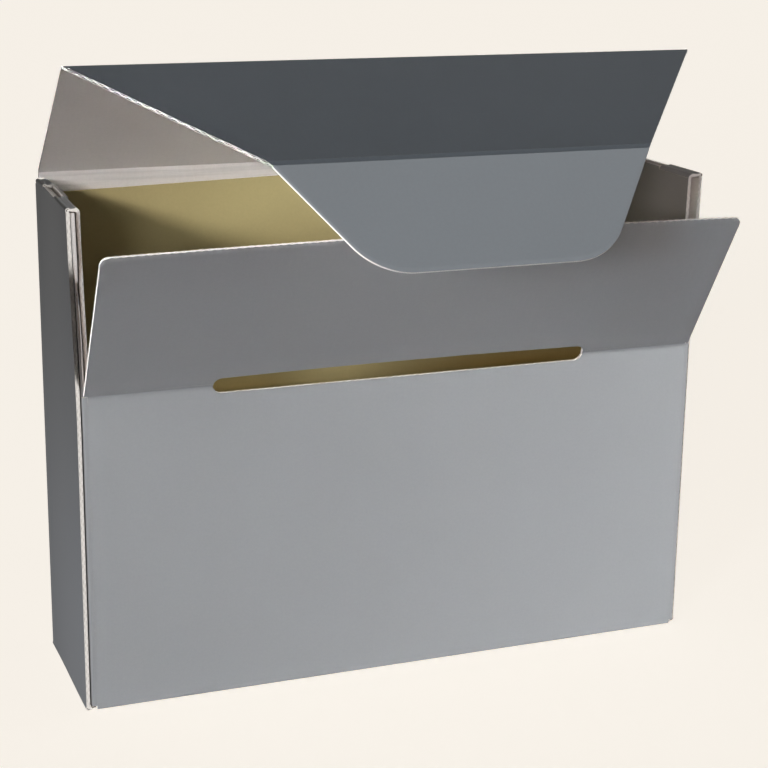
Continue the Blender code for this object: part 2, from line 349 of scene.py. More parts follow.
def paper(name, tint, roughness, fibre_scale=900.0, mottle=0.08, relief=0.02 * mm, ribs=0.0,
          fleck=0.0, specular=0.5, pressed=0.0):
    """A paper finish: soft mottle, fine fibre relief and, on the board's faces, faint ribs."""
    material = bpy.data.materials.new(name)
    material.use_nodes = True
    tree = material.node_tree
    shader = tree.nodes["Principled BSDF"]
    fibre = add_node(tree, "ShaderNodeGroup", node_tree=fibre_group())
    fibre.inputs["Fibre Scale"].default_value = fibre_scale
    fibre.inputs["Fleck Amount"].default_value = fleck
    tone = add_node(
        tree, "ShaderNodeMapRange",
        {"Value": fibre.outputs["Tone"], "From Min": 0.3, "From Max": 0.7,
         "To Min": 1.0 - mottle, "To Max": 1.0 + mottle},
    )
    flecked = maths(tree, "SUBTRACT", tone.outputs["Result"], fibre.outputs["Fleck"])
    # Painted shade: the colour is darkened along the pressed lines, besides the dent that the bump gives
    # them.
    if pressed:
        lines = add_node(tree, "ShaderNodeGroup", node_tree=pressed_group())
        flecked = maths(tree, "MULTIPLY_ADD", lines.outputs["Line"], -pressed, flecked)
    shade = add_node(
        tree, "ShaderNodeVectorMath", {0: (*tint,), 3: flecked}, operation="SCALE",
    )
    tree.links.new(shade.outputs[0], shader.inputs["Base Color"])
    rough = add_node(
        tree, "ShaderNodeMapRange",
        {"Value": fibre.outputs["Tone"], "From Min": 0.3, "From Max": 0.7,
         "To Min": roughness - 0.04, "To Max": roughness + 0.04},
    )
    tree.links.new(rough.outputs["Result"], shader.inputs["Roughness"])
    bump = add_node(
        tree, "ShaderNodeBump",
        {"Height": fibre.outputs["Height"], "Strength": 0.6, "Distance": relief},
    )
    normal = bump.outputs["Normal"]
    if pressed:
        dent = add_node(
            tree, "ShaderNodeBump",
            {"Height": lines.outputs["Line"], "Strength": 1.0, "Distance": 0.12 * mm,
             "Normal": normal},
        )
        normal = dent.outputs["Normal"]
    if ribs:
        washboard = add_node(tree, "ShaderNodeGroup", node_tree=washboard_group())
        rib_bump = add_node(
            tree, "ShaderNodeBump",
            {"Height": washboard.outputs["Height"], "Strength": 1.0, "Distance": ribs,
             "Normal": normal},
        )
        normal = rib_bump.outputs["Normal"]
    tree.links.new(normal, shader.inputs["Normal"])
    shader.inputs["Specular IOR Level"].default_value = specular
    material.diffuse_color = (*tint, 1.0)
    return material


def papers():
    """The finishes of the box, made once."""
    if "Outside paper" not in bpy.data.materials:
        tints = bpy.context.scene.box_papers
        paper("Outside paper", tints.outside, 0.6, mottle=0.035, relief=0.012 * mm, ribs=0.006 * mm,
              specular=0.08)
        # The inside paper's pressed lines darken its colour by a tenth, as painted shade in their dents.
        paper("Inside paper", tints.inside, 0.75, mottle=0.05, relief=0.03 * mm, ribs=0.008 * mm,
              fleck=0.03, specular=0.2, pressed=0.1)
        paper("Cut edge", tints.edge, 0.85, fibre_scale=2600.0, mottle=0.16, relief=0.05 * mm,
              specular=0.2)
        paper("Olive sheet", tints.sheet, 0.8, mottle=0.05, relief=0.03 * mm, fleck=0.05,
              specular=0.2)
        # The flute channel finish is painted shade inside the flutes, not a darker paper.
        paper("Flute channel", tints.channel, 0.9, mottle=0.1, relief=0.03 * mm, specular=0.1)
    names = ("Outside paper", "Inside paper", "Cut edge", "Flute channel")
    return [bpy.data.materials[name] for name in names]


# Fluted board


def ply_group():
    """Geometry group: lift a surface off the board's middle and give it the thickness of paper."""
    name = "Paper ply"
    if name in bpy.data.node_groups:
        return bpy.data.node_groups[name]
    tree = bpy.data.node_groups.new(name, "GeometryNodeTree")
    group_socket(tree, "Surface", "Geometry")
    group_socket(tree, "Lift", "Float", 0.0)
    group_socket(tree, "Thickness", "Float", 0.3 * mm)
    group_socket(tree, "Face", "Int", 0)
    group_socket(tree, "Back", "Int", 3)
    group_socket(tree, "Ply", "Geometry", out=True)
    inputs = tree.nodes.new("NodeGroupInput")
    outputs = tree.nodes.new("NodeGroupOutput")
    normal = add_node(tree, "GeometryNodeInputNormal").outputs["Normal"]
    offset = add_node(
        tree, "ShaderNodeVectorMath", {0: normal, 3: inputs.outputs["Lift"]}, operation="SCALE"
    )
    lifted = add_node(
        tree, "GeometryNodeSetPosition",
        {"Geometry": inputs.outputs["Surface"], "Offset": offset.outputs[0]},
    )
    grown = add_node(
        tree, "GeometryNodeExtrudeMesh",
        {"Mesh": lifted.outputs[0], "Offset Scale": inputs.outputs["Thickness"],
         "Individual": False},
    )
    faced = add_node(
        tree, "GeometryNodeStoreNamedAttribute",
        {"Geometry": grown.outputs["Mesh"], "Selection": grown.outputs["Top"],
         "Name": "paper_face", "Value": inputs.outputs["Face"]},
        data_type="INT", domain="FACE",
    )
    turned = add_node(tree, "GeometryNodeFlipFaces", {"Mesh": lifted.outputs[0]})
    back = add_node(
        tree, "GeometryNodeStoreNamedAttribute",
        {"Geometry": turned.outputs[0], "Name": "paper_face", "Value": inputs.outputs["Back"]},
        data_type="INT", domain="FACE",
    )
    joined = add_node(tree, "GeometryNodeJoinGeometry")
    tree.links.new(faced.outputs[0], joined.inputs[0])
    tree.links.new(back.outputs[0], joined.inputs[0])
    merged = add_node(
        tree, "GeometryNodeMergeByDistance", {"Geometry": joined.outputs[0], "Distance": 0.0005 * mm}
    )
    tree.links.new(merged.outputs[0], outputs.inputs["Ply"])
    return tree


def board_tree():
    """Geometry Nodes tree: a flat surface becomes two liners with a wavy paper between them."""
    name = "Fluted board"
    if name in bpy.data.node_groups:
        return bpy.data.node_groups[name]
    tree = bpy.data.node_groups.new(name, "GeometryNodeTree")
    tree.is_modifier = True
    group_socket(tree, "Surface", "Geometry")
    group_socket(tree, "Flute Pitch", "Float", 3.45 * mm)
    group_socket(tree, "Board Thickness", "Float", 1.6 * mm)
    group_socket(tree, "Liner Thickness", "Float", 0.3 * mm)
    group_socket(tree, "Core Thickness", "Float", 0.56 * mm)
    group_socket(tree, "Outside Paper", "Material")
    group_socket(tree, "Inside Paper", "Material")
    group_socket(tree, "Cut Edge", "Material")
    group_socket(tree, "Channel", "Material")
    group_socket(tree, "Board", "Geometry", out=True)
    inputs = tree.nodes.new("NodeGroupInput")
    outputs = tree.nodes.new("NodeGroupOutput")
    sockets = inputs.outputs

    def attribute(name):
        node = add_node(
            tree, "GeometryNodeInputNamedAttribute", {"Name": name}, data_type="FLOAT"
        )
        return node.outputs["Attribute"]

    kept = maths(tree, "SUBTRACT", 1.0, attribute("crush"))
    half = maths(tree, "MULTIPLY", sockets["Board Thickness"], 0.5)
    room = maths(tree, "SUBTRACT", half, sockets["Liner Thickness"])
    lift = maths(tree, "MULTIPLY", room, kept)
    half_core = maths(tree, "MULTIPLY", sockets["Core Thickness"], 0.5)
    swing = maths(tree, "MAXIMUM", maths(tree, "SUBTRACT", lift, half_core), 0.0)
    waves = maths(tree, "DIVIDE", attribute("across"), sockets["Flute Pitch"])
    wave = maths(tree, "SINE", maths(tree, "MULTIPLY", waves, 2 * pi))
    normal = add_node(tree, "GeometryNodeInputNormal").outputs["Normal"]
    offset = add_node(
        tree, "ShaderNodeVectorMath", {0: normal, 3: maths(tree, "MULTIPLY", wave, swing)},
        operation="SCALE",
    )
    waved = add_node(
        tree, "GeometryNodeSetPosition",
        {"Geometry": sockets["Surface"], "Offset": offset.outputs[0]},
    )
    turned = add_node(tree, "GeometryNodeFlipFaces", {"Mesh": sockets["Surface"]})
    ply = ply_group()
    outer, inner, middle = (tree.nodes.new("GeometryNodeGroup") for _ in range(3))
    core_lift = maths(tree, "MULTIPLY", sockets["Core Thickness"], -0.5)
    plan = (
        (outer, sockets["Surface"], lift, sockets["Liner Thickness"], 1),
        (inner, turned.outputs[0], lift, sockets["Liner Thickness"], 2),
        (middle, waved.outputs[0], core_lift, sockets["Core Thickness"], 3),
    )
    joined = tree.nodes.new("GeometryNodeJoinGeometry")
    for node, surface, raised, thick, face in plan:
        node.node_tree = ply
        tree.links.new(surface, node.inputs["Surface"])
        tree.links.new(raised, node.inputs["Lift"])
        tree.links.new(thick, node.inputs["Thickness"])
        node.inputs["Face"].default_value = face
        tree.links.new(node.outputs["Ply"], joined.inputs[0])
    real = add_node(tree, "GeometryNodeRealizeInstances", {"Geometry": joined.outputs[0]})
    face = add_node(
        tree, "GeometryNodeInputNamedAttribute", {"Name": "paper_face"}, data_type="INT"
    ).outputs["Attribute"]
    shown = add_node(
        tree, "GeometryNodeSetMaterial",
        {"Geometry": real.outputs[0], "Material": sockets["Cut Edge"]},
    )
    # Face 3, the faces of the papers inside the flutes, takes the channel colour, which is painted
    # shade.
    for number, socket in ((1, "Outside Paper"), (2, "Inside Paper"), (3, "Channel")):
        chosen = add_node(
            tree, "FunctionNodeCompare", data_type="INT", operation="EQUAL"
        )
        tree.links.new(face, chosen.inputs[2])
        chosen.inputs[3].default_value = number
        shown = add_node(
            tree, "GeometryNodeSetMaterial",
            {"Geometry": shown.outputs[0], "Selection": chosen.outputs["Result"],
             "Material": sockets[socket]},
        )
    tree.links.new(shown.outputs[0], outputs.inputs["Board"])
    return tree


def surface(name, *patches):
    """A surface in the middle of a board, made of patches.

    A patch is (columns, rows, place) or (columns, rows, place, crush). Columns are places
    across the flutes, rows(u) gives the same number of places along them for every column,
    place(u, v) gives the point, and crush(u, v) the share of the thickness lost there.
    """
    verts = []
    across = []
    crushed = []
    faces = []
    for columns, rows, place, *crush in patches:
        start = len(verts)
        for u in columns:
            for v in rows(u):
                verts.append(place(u, v))
                across.append(u)
                crushed.append(crush[0](u, v) if crush else 0.0)
        count = len(rows(columns[0]))
        for i in range(len(columns) - 1):
            for j in range(count - 1):
                a = start + i * count + j
                faces.append((a, a + count, a + count + 1, a + 1))
    mesh = bpy.data.meshes.new(name)
    mesh.from_pydata(verts, [], faces)
    for label, values in (("across", across), ("crush", crushed)):
        layer = mesh.attributes.new(label, "FLOAT", "POINT")
        layer.data.foreach_set("value", values)
    item = bpy.data.objects.new(name, mesh)
    bpy.context.scene.collection.objects.link(item)
    return item


def face_outwards(item, outward):
    """Turn the surface over if its first face points against outward."""
    if item.data.polygons[0].normal.dot(Vector(outward)) < 0:
        item.data.flip_normals()


def make_board(item, crushed=False, swap=False):
    """Give a surface the plies of the board, and leave a plain mesh."""
    board = bpy.context.scene.box_board
    outside, inside, edge, channel = papers()
    tree = board_tree()
    modifier = item.modifiers.new("Fluted board", "NODES")
    modifier.node_group = tree
    values = {
        "Flute Pitch": board.pitch,
        "Board Thickness": board.thickness,
        "Liner Thickness": board.liner,
        "Core Thickness": board.crushed_core if crushed else board.core,
        "Outside Paper": inside if swap else outside,
        "Inside Paper": outside if swap else inside,
        "Cut Edge": edge,
        "Channel": channel,
    }
    for socket in tree.interface.items_tree:
        if socket.item_type == "SOCKET" and socket.name in values:
            modifier[socket.identifier] = values[socket.name]
    graph = bpy.context.evaluated_depsgraph_get()
    evaluated = item.evaluated_get(graph)
    mesh = bpy.data.meshes.new_from_object(
        evaluated, preserve_all_data_layers=True, depsgraph=graph
    )
    item.modifiers.clear()
    flat = item.data
    item.data = mesh
    bpy.data.meshes.remove(flat)
    mesh.name = item.name
    mesh.shade_smooth()
    mesh.set_sharp_from_angle(angle=radians(38))
    return item


def flute_columns(low, high, extra=()):
    """Places across the flutes from low to high, with extra ones where an outline turns."""
    board = bpy.context.scene.box_board
    step = board.pitch / board.flute_steps
    first = int(low / step) - 1
    last = int(high / step) + 1
    places = [low, high] + [u for u in extra if low < u < high]
    near = step / 4
    for number in range(first, last + 1):
        u = number * step
        if low < u < high and min(abs(u - other) for other in places) > near:
            places.append(u)
    return sorted(places)


def settle(item, body, nodes):
    """Let a finished piece ride on its body in place of its plain solids."""
    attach(item, body)
    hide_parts(*nodes)
    return item


# Profiles


def arc_points(centre, radius, start, end, steps):
    """Points along an arc in a plane, both ends included."""
    turn = (end - start) / steps
    return [
        Vector((centre[0] + radius * cos(start + turn * k), centre[1] + radius * sin(start + turn * k)))
        for k in range(steps + 1)
    ]


def fold_points(before, corner, after, reach, steps):
    """Points of the arc that rounds a fold, touching both sides at reach from the corner."""
    corner = Vector(corner)
    one = (Vector(before) - corner).normalized()
    two = (Vector(after) - corner).normalized()
    half = one.angle(two) / 2
    radius = reach * tan(half)
    centre = corner + (one + two).normalized() * reach / cos(half)
    first = corner + one * reach - centre
    last = corner + two * reach - centre
    start = atan2(first.y, first.x)
    turn = (atan2(last.y, last.x) - start + pi) % (2 * pi) - pi
    return arc_points(centre, radius, start, start + turn, steps)


class Profile:
    """A line in a plane that places points by their distance along it.

    Each point may have a share of the thickness that the board loses there.
    """

    def __init__(self, points, crush=None):
        self.points = [Vector(p) for p in points]
        self.lost = crush or [0.0] * len(self.points)
        self.marks = [0.0]
        for a, b in zip(self.points, self.points[1:]):
            self.marks.append(self.marks[-1] + (b - a).length)

    def span(self, distance):
        """The stretch that a distance falls in, and the share of it that is passed."""
        marks = self.marks
        k = 0
        while k < len(marks) - 2 and distance > marks[k + 1]:
            k += 1
        share = (distance - marks[k]) / (marks[k + 1] - marks[k])
        return k, share

    def at(self, distance):
        """The point at a distance along the line."""
        k, share = self.span(distance)
        return self.points[k].lerp(self.points[k + 1], share)

    def crush(self, distance):
        """The share of the thickness lost at a distance along the line."""
        k, share = self.span(distance)
        share = min(max(share, 0.0), 1.0)
        return self.lost[k] + (self.lost[k + 1] - self.lost[k]) * share


def folded(corner, before, after, last):
    """Middle line of the board round a fixed fold, and on along the next panel to last.

    The outer faces meet at corner. before and after point from it back along the first panel
    and on along the next. The board is pressed thin in the fold, and its outer face stays full.
    """
    board = bpy.context.scene.box_board
    half = board.thickness / 2
    corner, before, after = Vector(corner), Vector(before), Vector(after)
    radius = board.fold_radius
    pressed = half * (1 - board.fold_crush)
    centre = corner + (before + after) * radius
    points = []
    lost = []
    for share in (1.0, 0.66, 0.33):
        ease = share * share * (3 - 2 * share)
        depth = pressed + (half - pressed) * ease
        points.append(corner + before * (radius + board.fold_run * share) + after * depth)
        lost.append(1 - depth / half)
    for k in range(FOLD_STEPS + 1):
        turn = pi / 2 * k / FOLD_STEPS
        points.append(centre - (after * cos(turn) + before * sin(turn)) * (radius - pressed))
        lost.append(board.fold_crush)
    for share in (0.33, 0.66, 1.0):
        ease = share * share * (3 - 2 * share)
        depth = pressed + (half - pressed) * ease
        points.append(corner + after * (radius + board.fold_run * share) + before * depth)
        lost.append(1 - depth / half)
    points.append(corner + after * last + before * half)
    lost.append(0.0)
    return Profile(points, lost)


def foot_profile(face, top):
    """Middle line of a wall from the bottom panel, round the foot fold and up to top."""
    return folded((face, 0), (-1, 0), (0, 1), top)


def fold_reach():
    """How far from the outer corner a fixed fold begins."""
    board = bpy.context.scene.box_board
    return board.fold_radius + board.fold_run


# Panels of the main strip


def slot_edges(x):
    """Lower and upper edge of the slot above the front crease, or None beside the slot."""
    shape = bpy.context.scene.box_panels
    radius = (shape.slot_above + shape.slot_below) / 2
    rise = (shape.slot_above - shape.slot_below) / 2
    reach = abs(x) - (shape.slot_half - radius)
    if reach >= radius:
        return None
    depth = radius if reach <= 0 else sqrt(radius * radius - reach * reach)
    return rise - depth, rise + depth


def slot_turns():
    """Columns that follow the round ends of the slot."""
    shape = bpy.context.scene.box_panels
    radius = (shape.slot_above + shape.slot_below) / 2
    centre = shape.slot_half - radius
    turns = [centre + radius * sin(k * pi / 20) for k in range(10)]
    turns += [shape.slot_half - 0.005 * mm, shape.slot_half + 0.005 * mm]
    return turns + [-u for u in turns]


def spread(low, high, steps):
    """Evenly spaced places from low to high."""
    return [low + (high - low) * k / steps for k in range(steps + 1)]


def cut_rows(low, high, steps):
    """Places from low to a cut edge at high, closer together where the die has pressed it."""
    run = bpy.context.scene.box_board.cut_run
    near = max(high - run, (low + high) / 2)
    flat = max(near - run / 2, (low + near) / 2)
    return spread(low, flat, steps) + [near, (near + high) / 2, high]


def cut_loss(distance, across=None):
    """The share of the thickness lost at a distance from a cut edge.

    across is the place across the flutes, where the liner sinks in between their tips.
    """
    board = bpy.context.scene.box_board
    share = board.cut_crush
    if across is not None:
        share -= board.cut_ripple * sin(2 * pi * across / board.pitch)
    return share * ease(1 - distance / board.cut_run)


def along(origin, angle):
    """A line in the YZ plane that starts at origin and leaves at angle above straight forward."""
    direction = Vector((-cos(angle), sin(angle)))
    return lambda x, v: (x, origin.x + direction.x * v, origin.y + direction.y * v)


def add_wall(name, sign, top, half_width, ears=()):
    """The front or back wall with its foot fold; sign is -1 at the front."""
    profile = foot_profile(HALF_DEPTH, top)
    fold_rows = profile.marks[:FOLD_MARKS]
    front = sign < 0

    def rows(x):
        end = profile.marks[-1]
        edges = slot_edges(x) if front else None
        if edges:
            end = min(end, end + edges[0] + FRONT_CREASE.y - top)
        return fold_rows + spread(fold_rows[-1], end, 4)[1:]

    def place(x, v):
        point = profile.at(v)
        return (x, sign * point.x, point.y)

    columns = flute_columns(-half_width, half_width, slot_turns() if front else ())
    item = surface(
        name,
        (columns, rows, place, lambda x, v: profile.crush(v)),
        *[(*ear, place) for ear in ears],
    )
    face_outwards(item, (0, 0, -1))
    return settle(make_board(item), "tray", [name])


class BOX_OT_add_base(bpy.types.Operator):
    """Add the bottom panel, the front wall and the back wall"""

    bl_idname = "archival_box.add_base"
    bl_label = "Add Base and Walls"

    def execute(self, context):
        board = context.scene.box_board
        half = board.thickness / 2
        reach = fold_reach()
        far_x = HALF_WIDTH - reach
        far_y = HALF_DEPTH - reach
        bottom = surface(
            "bottom_board",
            (flute_columns(-far_x, far_x), lambda x: (-far_y, 0.0, far_y), lambda x, v: (x, v, half)),
        )
        face_outwards(bottom, (0, 0, -1))
        settle(make_board(bottom), "tray", ["bottom_panel"])
        wall_end = TAB_FACE - fold_reach()
        add_wall("front_wall", -1, FRONT_CREASE.y - board.crease_reach, wall_end)
        top = LID_HINGE.y - board.crease_reach
        profile = foot_profile(HALF_DEPTH, top)
        low = profile.marks[-1] - (top - SIDE_TOP - 0.4 * mm)
        high = profile.marks[-1]
        ears = [
            (flute_columns(*ends), lambda x: (low, high))
            for ends in ((-LID_HALF_WIDTH, -wall_end), (wall_end, LID_HALF_WIDTH))
        ]
        add_wall("back_wall", 1, top, wall_end, ears)
        return {"FINISHED"}


class BOX_OT_add_drop_front(bpy.types.Operator):
    """Add the drop front that leans out over the front crease"""

    bl_idname = "archival_box.add_drop_front"
    bl_label = "Add Drop Front"

    def execute(self, context):
        board = context.scene.box_board
        shape = context.scene.box_panels
        half = board.thickness / 2
        up = Vector((-sin(DROP_LEAN), cos(DROP_LEAN)))
        inward = Vector((cos(DROP_LEAN), sin(DROP_LEAN)))
        low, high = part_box("drop_front")
        length = (high.z - FRONT_CREASE.y - board.thickness * inward.y) / up.y
        corner = shape.drop_corner

        wall_end = TAB_FACE - fold_reach()

        def top(x):
            reach = max(abs(x) - (DROP_HALF_WIDTH - corner), 0.0)
            return length - corner + sqrt(max(corner * corner - reach * reach, 0.0))

        def rows(x):
            edges = slot_edges(x)
            first = edges[1] if edges else board.crease_reach
            if abs(x) > wall_end:
                first = 0.3 * mm
            return cut_rows(first, top(x), 3)

        def place(x, v):
            bow = shape.drop_bow * v / length * (1 - (x / DROP_HALF_WIDTH) ** 2)
            bow += shape.slot_bow * (1 - v / length) * max(1 - (x / shape.slot_half) ** 2, 0.0)
            point = FRONT_CREASE + up * v + inward * (half + bow)
            return (x, point.x, point.y)

        turns = [DROP_HALF_WIDTH - corner * (1 - sin(k * pi / 16)) for k in range(8)]
        columns = flute_columns(
            -DROP_HALF_WIDTH, DROP_HALF_WIDTH,
            slot_turns() + turns + [-u for u in turns] + self.corner_columns(wall_end),
        )
        item = surface(
            "drop_front_board", (columns, rows, place, lambda x, v: cut_loss(top(x) - v, x))
        )
        face_outwards(item, (0, -1, -1))
        settle(make_board(item), "drop_front", ["drop_front"])
        return {"FINISHED"}

    def corner_columns(self, wall_end):
        """Columns where the lower corners start to reach down to the crease."""
        near = 0.01 * mm
        return [side * (wall_end + shift) for side in (-1, 1) for shift in (-near, near)]


# Lid


def lid_slope():
    """How far each side of the lid front comes in for its length."""
    shape = bpy.context.scene.box_panels
    return (LID_HALF_WIDTH - shape.lid_narrow) / (TUCK_CREASE - LID_EDGE).length


def tuck_end(x, length):
    """How far the tuck flap reaches at x."""
    shape = bpy.context.scene.box_panels
    slope = shape.tuck_slope
    radius = shape.tuck_corner
    slant = hypot(1, slope)
    centre_v = length - radius
    centre_x = shape.lid_narrow - slope * centre_v - radius * slant
    x = abs(x)
    if x <= centre_x:
        return length
    if x >= centre_x + radius / slant:
        return (shape.lid_narrow - x) / slope
    return centre_v + sqrt(radius * radius - (x - centre_x) ** 2)


class BOX_OT_add_lid(bpy.types.Operator):
    """Add the three panels of the lid"""

    bl_idname = "archival_box.add_lid"
    bl_label = "Add Lid"

    def execute(self, context):
        board = context.scene.box_board
        shape = context.scene.box_panels
        reach = board.crease_reach
        top_length = (LID_EDGE - LID_HINGE).length
        front_length = (TUCK_CREASE - LID_EDGE).length
        wide = LID_HALF_WIDTH
        top = surface(
            "lid_top_board",
            (flute_columns(-wide, wide), lambda x: spread(reach, top_length - reach, 4),
             along(LID_HINGE, LID_RISE)),
        )
        face_outwards(top, (0, 1, 1))
        settle(make_board(top), "lid_top", ["lid_top"])

        slope = lid_slope()
        front_angle = LID_RISE - LID_FRONT_FOLD
        far = wide - slope * reach
        near = wide - slope * (front_length - reach)

        def front_rows(x):
            end = min(front_length - reach, (wide - abs(x)) / slope)
            return spread(reach, max(end, reach + 0.01 * mm), 5)

        front = surface(
            "lid_front_board",
            (flute_columns(-far, far, (-near, near)), front_rows, along(LID_EDGE, front_angle)),
        )
        face_outwards(front, (0, -1, 2))
        settle(make_board(front), "lid_front", ["lid_front"])

        tuck_angle = front_angle - TUCK_FOLD
        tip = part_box("tuck_flap")[0]
        tuck_length = (TUCK_CREASE.y - tip.z - board.thickness / 2 * cos(tuck_angle)) / -sin(tuck_angle)
        root = shape.lid_narrow - shape.tuck_slope * reach
        tuck = surface(
            "tuck_board",
            (flute_columns(-root, root),
             lambda x: cut_rows(reach, max(tuck_end(x, tuck_length), reach + 0.01 * mm), 3),
             along(TUCK_CREASE, tuck_angle),
             lambda x, v: cut_loss(tuck_end(x, tuck_length) - v)),
        )
        face_outwards(tuck, (0, -1, 1))
        settle(make_board(tuck), "tuck_flap", ["tuck_flap"])
        return {"FINISHED"}


# Side walls


def ease(value):
    """A smooth step from 0 to 1."""
    value = min(max(value, 0.0), 1.0)
    return value * value * (3 - 2 * value)


def flare(part, sign, x, y, z):
    """How far a side wall springs outwards towards its front end.

    All of the left wall does so, and the right wall's outer panel with its spine.
    """
    shape = bpy.context.scene.box_panels
    forward = ease((WINDOW_BACK + 4 * mm - y) / (WINDOW_BACK + 4 * mm + SIDE_END))
    high = ease((z - FRONT_CREASE.y + 20 * mm) / (SIDE_TOP - FRONT_CREASE.y + 30 * mm))
    if sign > 0:
        if part != "outer":
            return 0.0
        share = min(max((x - INNER_FOLD.x) / (HALF_WIDTH - INNER_FOLD.x), 0.0), 1.0)
        return forward * high * share * shape.right_flare
    low = shape.side_gape if part == "outer" else 0.0
    return -forward * (low + (shape.side_flare - low) * high)


def side_columns(profile, extra=()):
    """Columns of a side panel: the marks of its folds and the faces of its flutes."""
    far = profile.marks[-1]
    places = sorted(set(profile.marks + flute_columns(0.0, far, extra)))
    return [u for k, u in enumerate(places) if k == 0 or u - places[k - 1] > 0.015 * mm]


def side_board(name, part, sign, profile, y_range, outward, window=None, relief=0.0, pinch=0.0):
    """A panel of a side wall: its profile in the XZ plane, run along Y.

    window is the profile's stretch that is there only in the window of the spine. relief is
    how far the front edge is set back where it would meet the bowed drop front. pinch is the
    length over which the board thins towards its cut ends.
    """
    board = bpy.context.scene.box_board
    columns = side_columns(profile)

    def place(u, v):
        point = profile.at(u)
        return (sign * point.x + flare(part, sign, point.x, v, point.y), v, point.y)

    def lost(u, v):
        if not pinch:
            return profile.crush(u)
        pressed = ease(1 - min(v - y_range[0], y_range[1] - v) / pinch)
        return max(profile.crush(u), board.cut_crush * pressed * sin(pi * u / profile.marks[-1]))

    def rows(u):
        back = relief * min(max(u / RELIEF_RUN, 0.0), 1.0)
        return spread(y_range[0] + back, y_range[1], 8)

    patches = [(columns, rows, place, lost)]
    if window:
        ends = (WINDOW_FRONT + board.window_gap, WINDOW_BACK - board.window_gap)
        patches.append((spread(*window, 4), lambda u: spread(*ends, 4), place, lost))
    item = surface(name, *patches)
    face_outwards(item, (sign * outward[0], 0, outward[1]))
    return make_board(item, crushed=True)


class BOX_OT_add_side_walls(bpy.types.Operator):
    """Add the rolled side walls: outer panels, spines, inner panels and corner tabs"""

    bl_idname = "archival_box.add_side_walls"
    bl_label = "Add Side Walls"

    def execute(self, context):
        board = context.scene.box_board
        shape = context.scene.box_panels
        bend = SIDE_TOP - fold_reach()
        outer = foot_profile(HALF_WIDTH, bend)
        spine = folded(
            (HALF_WIDTH, SIDE_TOP), (0, -1), (-1, 0), HALF_WIDTH - INNER_FOLD.x - board.crease_reach
        )
        inner_top = INNER_FOLD.y - board.crease_reach
        inner = Profile([(INNER_FOLD.x, inner_top), (INNER_FOLD.x, INNER_FOOT)])
        for side, sign in (("left", -1), ("right", 1)):
            ends = (SIDE_FRONT[side], SIDE_END)
            raised = (outer.marks[-1], outer.marks[-1] + SIDE_TOP - 0.6 * mm - bend)
            wall = side_board(side + "_outer_board", "outer", sign, outer, ends, (0, -1), raised)
            settle(wall, "tray", [side + "_side_outer"])
            for place, ends in (
                ("front", (SIDE_FRONT[side], WINDOW_FRONT)), ("rear", (WINDOW_BACK, SPINE_BACK))
            ):
                name = side + "_spine_board_" + place
                strip = side_board(name, "outer", sign, spine, ends, (1, 0), pinch=3 * mm)
                settle(strip, "tray", [side + "_spine_" + place])
            ends = (INNER_FRONT, INNER_BACK)
            raised = (inner_top - SIDE_TOP + 0.6 * mm, 0.0)
            panel = side_board(
                side + "_inner_board", "inner", sign, inner, ends, (-1, 0), raised,
                shape.drop_bow + 0.2 * mm,
            )
            settle(panel, side + "_inner_side", [side + "_side_inner"])
            self.add_tab("front", side, sign, -1)
            self.add_tab("back", side, sign, 1)
        return {"FINISHED"}

    def add_tab(self, end, side, sign_x, sign_y):
        """A corner tab that turns in from the front or back wall."""
        board = bpy.context.scene.box_board
        line = folded((TAB_FACE, HALF_DEPTH), (-1, 0), (0, -1), HALF_DEPTH - TAB_END)
        flat = line.marks[FOLD_MARKS - 1]
        fold_top = FRONT_CREASE.y - 0.1 * mm if end == "front" else TAB_TOP
        setback = SLIPPED_TAB if (end, side) == ("front", "right") else 0.05 * mm

        def rows(u):
            return spread(TAB_FOOT, fold_top if u < flat + setback else TAB_TOP, 10)

        def place(u, v):
            point = line.at(u)
            y = sign_y * point.y
            return (sign_x * point.x + flare("tab", sign_x, point.x, y, v), y, v)

        turns = (flat + setback - 0.02 * mm, flat + setback)
        patches = [(side_columns(line, turns), rows, place, lambda u, v: line.crush(u))]
        if (end, side) == ("front", "left"):
            straight = line.points[FOLD_MARKS - 1]
            inside = HALF_DEPTH - board.thickness - 0.5 * mm

            def put(u, v):
                """The free edge comes forward where the wall has sprung clear of the drop front."""
                ahead = ease((v - TAB_CLEAR) / (12 * mm)) * board.thickness
                y = -(straight.y + 0.05 * mm + (inside + ahead - straight.y) * (1 - u))
                return (sign_x * straight.x + flare("tab", sign_x, straight.x, y, v), y, v)

            patches.append(
                (spread(0.0, 1.0, 3),
                 lambda u: spread(fold_top + 0.4 * mm, TAB_TOP - 0.05 * mm, 16), put)
            )
        item = surface(f"{end}_{side}_tab_board", *patches)
        face_outwards(item, (0, sign_y, 0))
        settle(make_board(item, crushed=True), "tray", [f"{end}_{side}_tab"])


# Creases


def add_crease(name, points, columns, ends, place, outward, crushed=False):
    """A strip of board, curved round a joint between two bodies.

    ends(u) gives the shares of the strip's length where it starts and stops at column u.
    """
    board = bpy.context.scene.box_board
    profile = Profile(points)
    total = profile.marks[-1]
    depth = board.crease_crush

    def rows(u):
        first, last = ends(u)
        return spread(total * first, total * last, 8)

    def put(u, v):
        return place(u, profile.at(v))

    def crush(u, v):
        return depth * sin(pi * min(max(v / total, 0.0), 1.0)) ** 2

    item = surface(name, (columns, rows, put, crush))
    face_outwards(item, outward)
    make_board(item, crushed=crushed)
    start = Vector(place(0.0, profile.points[0]))
    end = Vector(place(0.0, profile.points[-1]))
    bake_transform(item)
    return item


